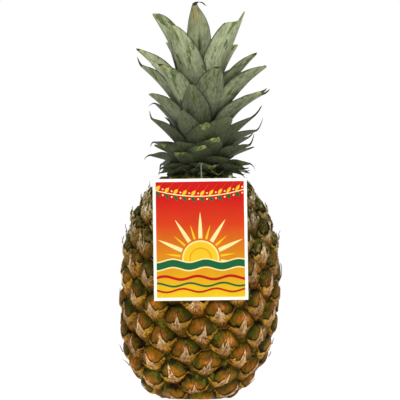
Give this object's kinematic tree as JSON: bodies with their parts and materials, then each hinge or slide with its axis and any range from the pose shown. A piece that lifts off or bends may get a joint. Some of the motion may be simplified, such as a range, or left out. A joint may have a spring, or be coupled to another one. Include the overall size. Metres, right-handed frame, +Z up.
{
  "type": "whole pineapple with crown",
  "caption": "Whole ripe pineapple standing on its flat base: barrel fruit with spiralling spiny eyes, leafy crown, and a card tag tied in front.",
  "frame": {"origin": "centre of the cut stalk's face, in the plane of the flat base that the fruit stands on", "axes": "+Z up along the fruit and its crown, -Y the front, where the card tag hangs, +X to the right as seen from the front"},
  "size_m": [0.1316, 0.1344, 0.3201],
  "materials": {
    "rind": "satin",
    "cut_stalk": "matte",
    "leaf": "satin",
    "card": "gloss",
    "elastic": "matte"
  },
  "bodies": {
    "root": {"fruit": "rind", "stalk": "cut_stalk", "crown": "leaf", "hang_tag": "card", "tag_tie": "elastic", "tie_seal": "card"}
  },
  "joints": []
}
